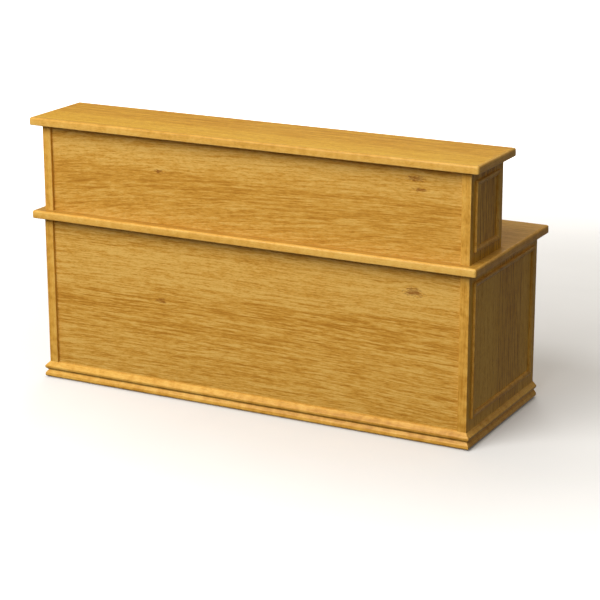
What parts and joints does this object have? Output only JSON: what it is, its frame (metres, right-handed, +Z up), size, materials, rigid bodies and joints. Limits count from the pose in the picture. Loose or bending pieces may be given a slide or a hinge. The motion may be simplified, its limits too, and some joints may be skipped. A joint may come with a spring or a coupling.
{
  "type": "two-tier reception counter",
  "caption": "Two-tier wooden reception counter: panelled customer front, raised counter shelf, and a staff side with worktop, knee space, drawers and a cupboard.",
  "frame": {"origin": "floor level, at the centre of the counter's width and depth", "axes": "+X along the counter towards the end with the drawers, +Y from the customer front to the staff side, +Z up"},
  "size_m": [2, 0.76, 1.126],
  "materials": {
    "oak_veneer_flat": "semi-gloss lacquered veneer, grain along the counter",
    "oak_veneer_upright": "semi-gloss lacquered veneer, grain upright",
    "solid_oak_trim": "semi-gloss lacquered solid wood",
    "oak_carcass_board": "satin lacquered board",
    "beech_dowel": "raw wood",
    "handle_steel": "brushed",
    "fitting_steel": "bright plated",
    "runner_steel": "zinc plated",
    "black_plastic": "fine moulded texture"
  },
  "bodies": {
    "counter": {"left_end_panel": "oak_veneer_upright", "right_end_panel": "oak_veneer_upright", "end_panel_stiles": "solid_oak_trim", "front_panel": "oak_veneer_flat", "front_plinth": "solid_oak_trim", "left_plinth": "solid_oak_trim", "right_plinth": "solid_oak_trim", "cupboard_upright": "oak_carcass_board", "drawer_upright": "oak_carcass_board", "cupboard_floor": "oak_carcass_board", "drawer_floor": "oak_carcass_board", "rear_kickboards": "oak_carcass_board", "worktop_board": "oak_veneer_flat", "worktop_buildup": "oak_carcass_board", "worktop_lipping": "solid_oak_trim", "tier_left_end_panel": "oak_veneer_upright", "tier_right_end_panel": "oak_veneer_upright", "tier_stiles": "solid_oak_trim", "tier_front_panel": "oak_veneer_flat", "tier_dividers": "oak_carcass_board", "tier_shelves": "oak_carcass_board", "top_board": "oak_veneer_flat", "top_buildup": "oak_carcass_board", "top_lipping": "solid_oak_trim", "lower_left_frame": "solid_oak_trim", "lower_right_frame": "solid_oak_trim", "tier_left_frame": "solid_oak_trim", "tier_right_frame": "solid_oak_trim", "dowels": "beech_dowel", "cable_grommet": "black_plastic", "glides": "black_plastic", "adjustable_shelf": "oak_carcass_board", "shelf_pins": "fitting_steel", "worktop_brackets": "fitting_steel", "bracket_screws": "fitting_steel", "runner_outers": "runner_steel", "hinge_fixed_leaves": "fitting_steel", "hinge_pins": "fitting_steel"},
    "drawer_1": {"drawer_1_runner_inners": "runner_steel", "drawer_1_front": "oak_veneer_flat", "drawer_1_box": "oak_carcass_board", "drawer_1_bottom": "oak_carcass_board", "drawer_1_handle": "handle_steel"},
    "drawer_1_middle_runners": {"drawer_1_runner_mids": "runner_steel"},
    "drawer_2": {"drawer_2_runner_inners": "runner_steel", "drawer_2_front": "oak_veneer_flat", "drawer_2_box": "oak_carcass_board", "drawer_2_bottom": "oak_carcass_board", "drawer_2_handle": "handle_steel"},
    "drawer_2_middle_runners": {"drawer_2_runner_mids": "runner_steel"},
    "drawer_3": {"drawer_3_runner_inners": "runner_steel", "drawer_3_front": "oak_veneer_flat", "drawer_3_box": "oak_carcass_board", "drawer_3_bottom": "oak_carcass_board", "drawer_3_handle": "handle_steel"},
    "drawer_3_middle_runners": {"drawer_3_runner_mids": "runner_steel"},
    "cupboard_door": {"door": "oak_veneer_upright", "door_handle": "handle_steel", "hinge_moving_leaves": "fitting_steel"}
  },
  "joints": [
    {"name": "drawer_1_slide", "type": "slide", "parent": "counter", "child": "drawer_1", "axis": [0, 1, 0], "range_m": [0, 0.5]},
    {"name": "drawer_1_middle_slide", "type": "slide", "parent": "counter", "child": "drawer_1_middle_runners", "axis": [0, 1, 0], "range_m": [0, 0.25]},
    {"name": "drawer_2_slide", "type": "slide", "parent": "counter", "child": "drawer_2", "axis": [0, 1, 0], "range_m": [0, 0.5]},
    {"name": "drawer_2_middle_slide", "type": "slide", "parent": "counter", "child": "drawer_2_middle_runners", "axis": [0, 1, 0], "range_m": [0, 0.25]},
    {"name": "drawer_3_slide", "type": "slide", "parent": "counter", "child": "drawer_3", "axis": [0, 1, 0], "range_m": [0, 0.5]},
    {"name": "drawer_3_middle_slide", "type": "slide", "parent": "counter", "child": "drawer_3_middle_runners", "axis": [0, 1, 0], "range_m": [0, 0.25]},
    {"name": "cupboard_door_hinge", "type": "hinge", "parent": "counter", "child": "cupboard_door", "pos_m": [-0.9205, 0.3605, 0.3925], "axis": [0, 0, 1], "range_deg": [0, 105]}
  ],
  "couplings": [
    {"joint": "drawer_1_middle_slide", "follows": "drawer_1_slide", "ratio": 0.5},
    {"joint": "drawer_2_middle_slide", "follows": "drawer_2_slide", "ratio": 0.5},
    {"joint": "drawer_3_middle_slide", "follows": "drawer_3_slide", "ratio": 0.5}
  ]
}
